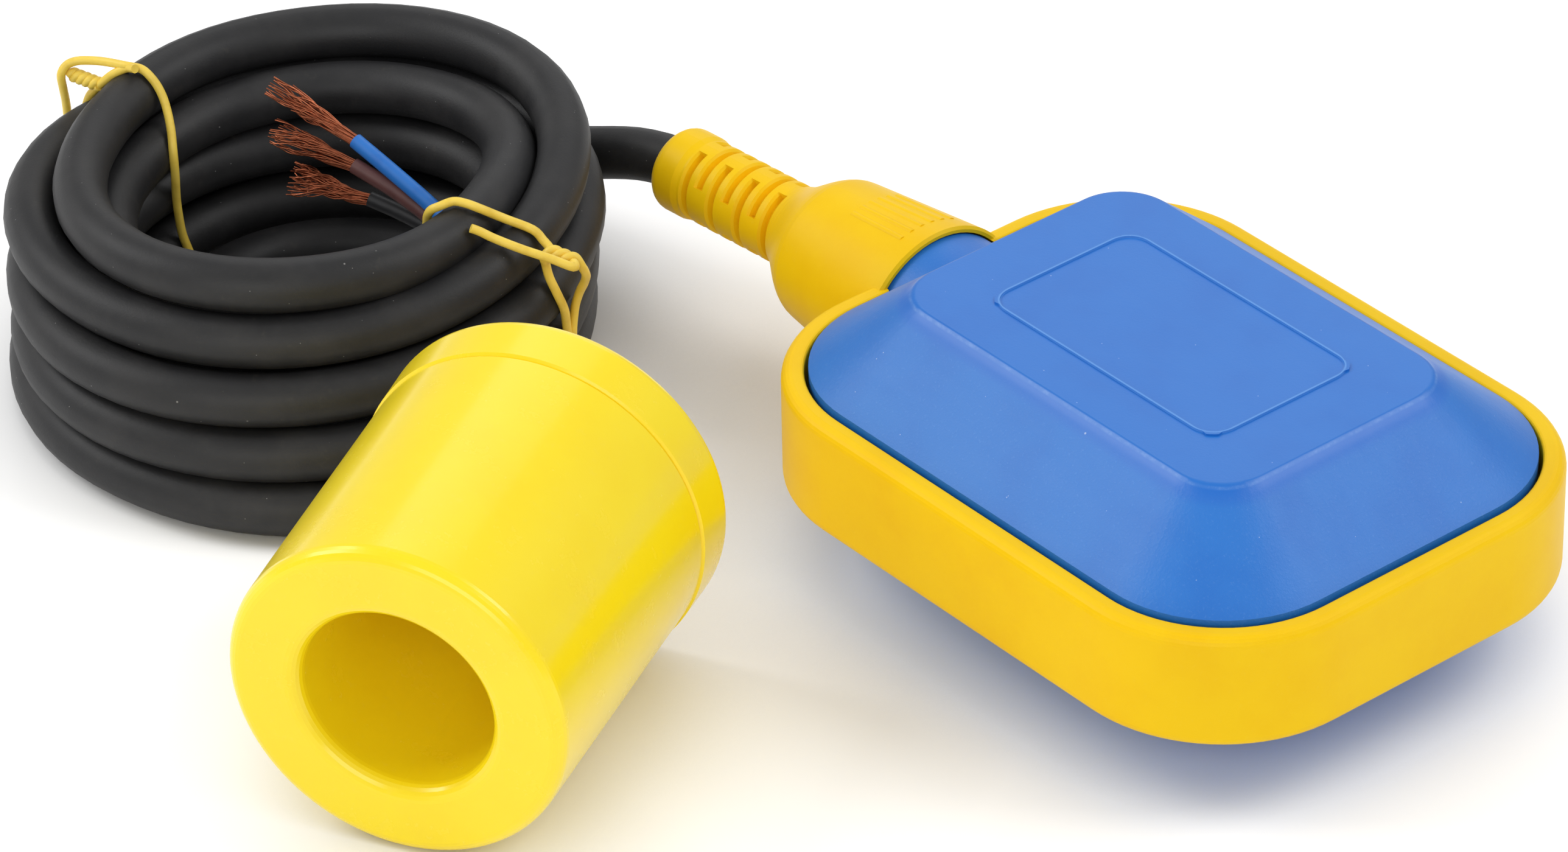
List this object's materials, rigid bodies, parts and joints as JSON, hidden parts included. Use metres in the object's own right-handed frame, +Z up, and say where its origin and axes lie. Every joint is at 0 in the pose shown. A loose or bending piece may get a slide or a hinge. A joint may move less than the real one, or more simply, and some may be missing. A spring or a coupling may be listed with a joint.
{
  "type": "float switch",
  "caption": "Cable float switch: flat sealed float with a soft band and strain relief, ball-operated microswitch, coiled cable with bare cores, and a loose counterweight.",
  "frame": {"origin": "centre of the float's flat underside, where it rests", "axes": "+Z up, +X along the float from the cable towards its nose, +Y across it"},
  "size_m": [0.2257, 0.1712, 0.0517],
  "materials": {
    "shell_blue": "satin moulded polypropylene",
    "band_yellow": "soft moulded elastomer, satin",
    "weight_yellow": "glossy moulded plastic",
    "cable_rubber": "matt rubber jacket with fine dust",
    "core_blue": "smooth core insulation",
    "core_brown": "smooth core insulation",
    "core_black": "smooth core insulation",
    "copper": "bare fine copper strands",
    "tie_wire": "plastic-coated wire",
    "resin": "cast resin",
    "carrier_white": "moulded plastic",
    "screw_steel": "zinc-plated steel",
    "ball_steel": "polished steel",
    "switch_black": "moulded plastic",
    "switch_red": "moulded plastic",
    "plunger_ivory": "moulded plastic",
    "spring_steel": "rolled stainless strip",
    "tab_brass": "stamped brass",
    "ballast_iron": "bare cast iron"
  },
  "bodies": {
    "housing": {"lower_shell": "shell_blue", "upper_shell": "shell_blue", "band_and_boot": "band_yellow", "potting": "resin", "carrier": "carrier_white", "track_cover": "carrier_white", "carrier_screws": "screw_steel", "switch_case": "switch_black", "switch_cover": "switch_red", "lever_pin": "spring_steel", "terminal_common": "tab_brass", "terminal_open": "tab_brass", "terminal_closed": "tab_brass", "lead_blue": "core_blue", "lead_brown": "core_brown", "lead_black": "core_black", "cable_entry": "cable_rubber", "cable_lead": "cable_rubber", "cable_coil": "cable_rubber", "core_blue": "core_blue", "core_brown": "core_brown", "core_black": "core_black", "strands_blue": "copper", "strands_brown": "copper", "strands_black": "copper", "tie_rear": "tie_wire", "tie_front": "tie_wire", "weight_body": "weight_yellow", "weight_cap": "weight_yellow", "weight_ballast": "ballast_iron"},
    "ball": {"steel_ball": "ball_steel"},
    "lever_arm": {"lever": "spring_steel"},
    "button": {"plunger": "plunger_ivory"}
  },
  "joints": [
    {"name": "ball_roll", "type": "slide", "parent": "housing", "child": "ball", "axis": [-1, 0, 0], "range_m": [0, 0.0262]},
    {"name": "plunger_travel", "type": "slide", "parent": "housing", "child": "button", "axis": [-1, 0, 0], "range_m": [0, 0.00099], "stiffness_N_per_m": 150, "springref_m": -0.004},
    {"name": "lever_pivot", "type": "hinge", "parent": "housing", "child": "lever_arm", "pos_m": [-0.0147, 0.0115, 0.0215], "axis": [0, 0, -1], "range_deg": [0, 8]}
  ],
  "couplings": [
    {"joint": "lever_pivot", "follows": "plunger_travel", "rad_per_m": 141}
  ]
}
